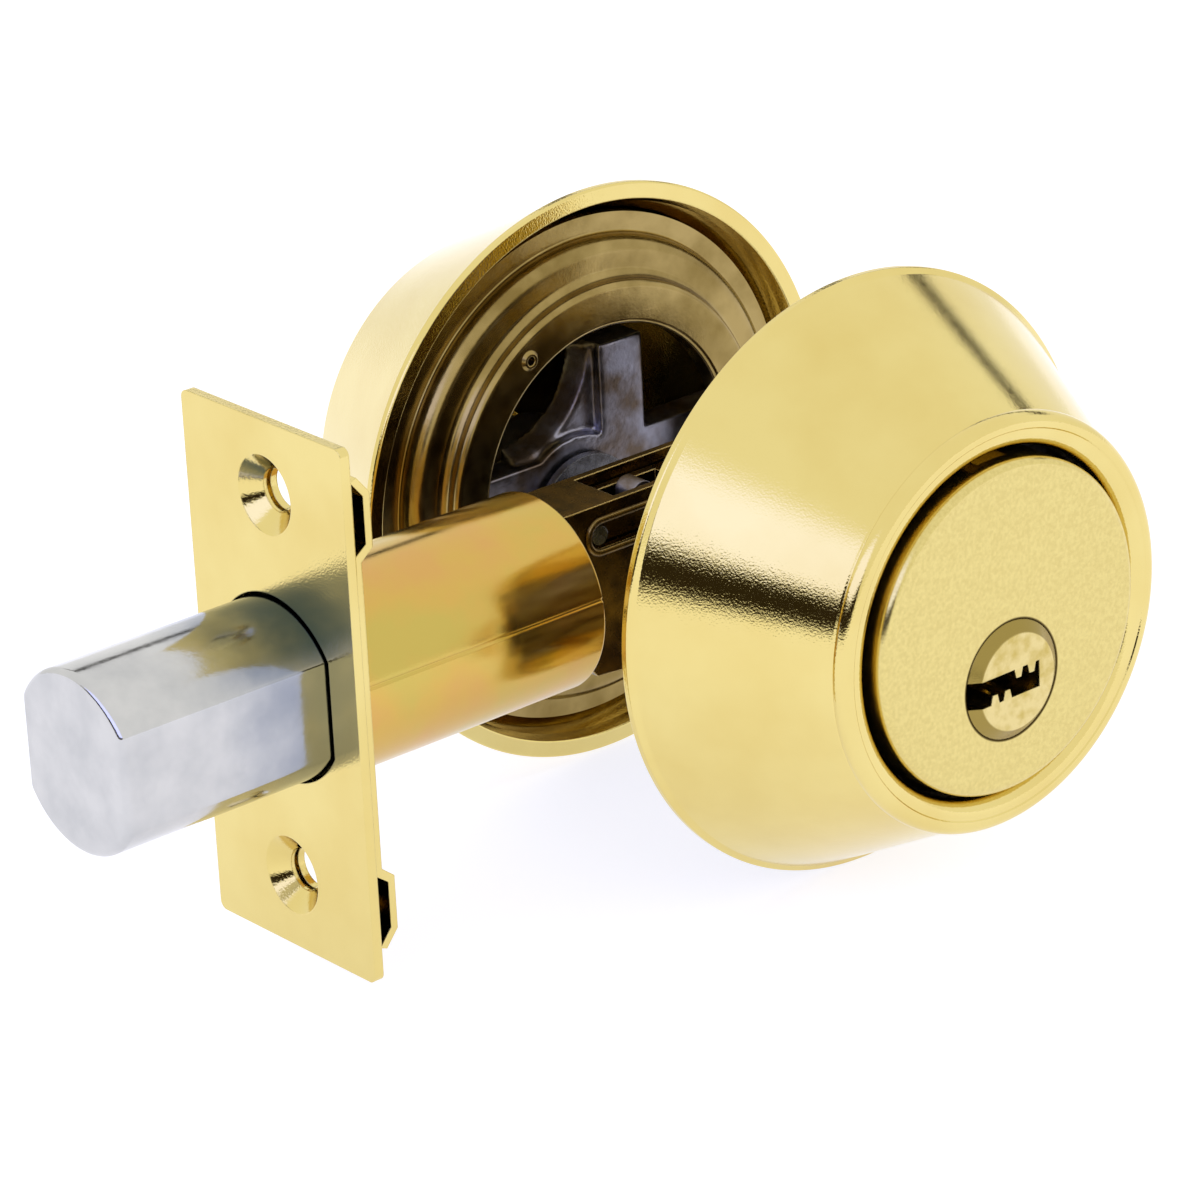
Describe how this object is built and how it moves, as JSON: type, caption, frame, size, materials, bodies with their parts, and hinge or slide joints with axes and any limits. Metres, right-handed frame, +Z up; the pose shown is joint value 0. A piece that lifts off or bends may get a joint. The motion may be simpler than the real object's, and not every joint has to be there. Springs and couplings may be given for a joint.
{
  "type": "deadbolt door lock",
  "caption": "Tubular deadbolt lock: keyed cylinder in a tapered collar, matching inside rose with a thumbturn, flat-sided sliding bolt with faceplate, barrel and cam mechanism.",
  "frame": {"origin": "where the bolt's axis meets the axis of the door's cross bore, midway between the door's faces", "axes": "+Z up, +Y from the outside trim to the inside trim, the bolt throws towards -X"},
  "size_m": [0.1172, 0.0975, 0.0644],
  "materials": {
    "polished_brass": "polished brass plating",
    "cylinder_brass": "satin brass",
    "plug_brass": "bright brass",
    "pin_brass": "turned brass",
    "bolt_steel": "satin nickel plate",
    "zinc_yellow": "yellow chromated zinc plate",
    "plate_yellow": "dull yellow chromated zinc plate",
    "bright_steel": "bright zinc plate",
    "hard_steel": "hardened, dark",
    "grey_zinc": "grey die casting"
  },
  "bodies": {
    "lock_body": {"outer_collar": "polished_brass", "centring_ring": "grey_zinc", "cylinder_housing": "cylinder_brass", "chamber_cover": "pin_brass", "driver_spring_1": "bright_steel", "driver_spring_2": "bright_steel", "driver_spring_3": "bright_steel", "driver_spring_4": "bright_steel", "driver_spring_5": "bright_steel", "faceplate": "polished_brass", "backplate": "polished_brass", "barrel": "zinc_yellow", "latch_case": "zinc_yellow", "case_rivets": "bright_steel", "inner_rose": "polished_brass", "mounting_plate": "plate_yellow", "turn_bearing": "grey_zinc"},
    "bolt_body": {"bolt": "bolt_steel", "saw_roller": "hard_steel", "bolt_tail": "zinc_yellow", "tail_rivet": "bright_steel", "guide_pin": "bright_steel"},
    "plug_body": {"key_plug": "plug_brass", "key_pins": "pin_brass", "plug_clip": "bright_steel", "tailpiece": "bright_steel"},
    "cam_body": {"cam": "grey_zinc"},
    "turn_body": {"thumbturn": "polished_brass", "turn_spindle": "grey_zinc", "turn_clip": "bright_steel"},
    "driver_1": {"driver_pin_1": "pin_brass"},
    "driver_2": {"driver_pin_2": "pin_brass"},
    "driver_3": {"driver_pin_3": "pin_brass"},
    "driver_4": {"driver_pin_4": "pin_brass"},
    "driver_5": {"driver_pin_5": "pin_brass"}
  },
  "joints": [
    {"name": "bolt_slide", "type": "slide", "parent": "lock_body", "child": "bolt_body", "axis": [1, 0, 0], "range_m": [0, 0.025]},
    {"name": "plug_turn", "type": "hinge", "parent": "lock_body", "child": "plug_body", "pos_m": [0, 0, -0.0055], "axis": [0, 1, 0], "range_deg": [0, 90]},
    {"name": "cam_turn", "type": "hinge", "parent": "lock_body", "child": "cam_body", "pos_m": [0, 0, -0.0055], "axis": [0, 1, 0], "range_deg": [0, 90]},
    {"name": "thumb_turn", "type": "hinge", "parent": "lock_body", "child": "turn_body", "pos_m": [0, 0, -0.0055], "axis": [0, 1, 0], "range_deg": [0, 90]},
    {"name": "driver_1_lift", "type": "slide", "parent": "lock_body", "child": "driver_1", "axis": [0, 0, 1], "range_m": [0, 0.0012], "stiffness_N_per_m": 30, "springref_m": -0.002, "deforming": ["driver_spring_1"]},
    {"name": "driver_2_lift", "type": "slide", "parent": "lock_body", "child": "driver_2", "axis": [0, 0, 1], "range_m": [0, 0.0012], "stiffness_N_per_m": 30, "springref_m": -0.002, "deforming": ["driver_spring_2"]},
    {"name": "driver_3_lift", "type": "slide", "parent": "lock_body", "child": "driver_3", "axis": [0, 0, 1], "range_m": [0, 0.0012], "stiffness_N_per_m": 30, "springref_m": -0.002, "deforming": ["driver_spring_3"]},
    {"name": "driver_4_lift", "type": "slide", "parent": "lock_body", "child": "driver_4", "axis": [0, 0, 1], "range_m": [0, 0.0012], "stiffness_N_per_m": 30, "springref_m": -0.002, "deforming": ["driver_spring_4"]},
    {"name": "driver_5_lift", "type": "slide", "parent": "lock_body", "child": "driver_5", "axis": [0, 0, 1], "range_m": [0, 0.0012], "stiffness_N_per_m": 30, "springref_m": -0.002, "deforming": ["driver_spring_5"]}
  ],
  "couplings": [
    {"joint": "plug_turn", "follows": "bolt_slide", "rad_per_m": 62.832},
    {"joint": "cam_turn", "follows": "bolt_slide", "rad_per_m": 62.832},
    {"joint": "thumb_turn", "follows": "bolt_slide", "rad_per_m": 62.832}
  ]
}
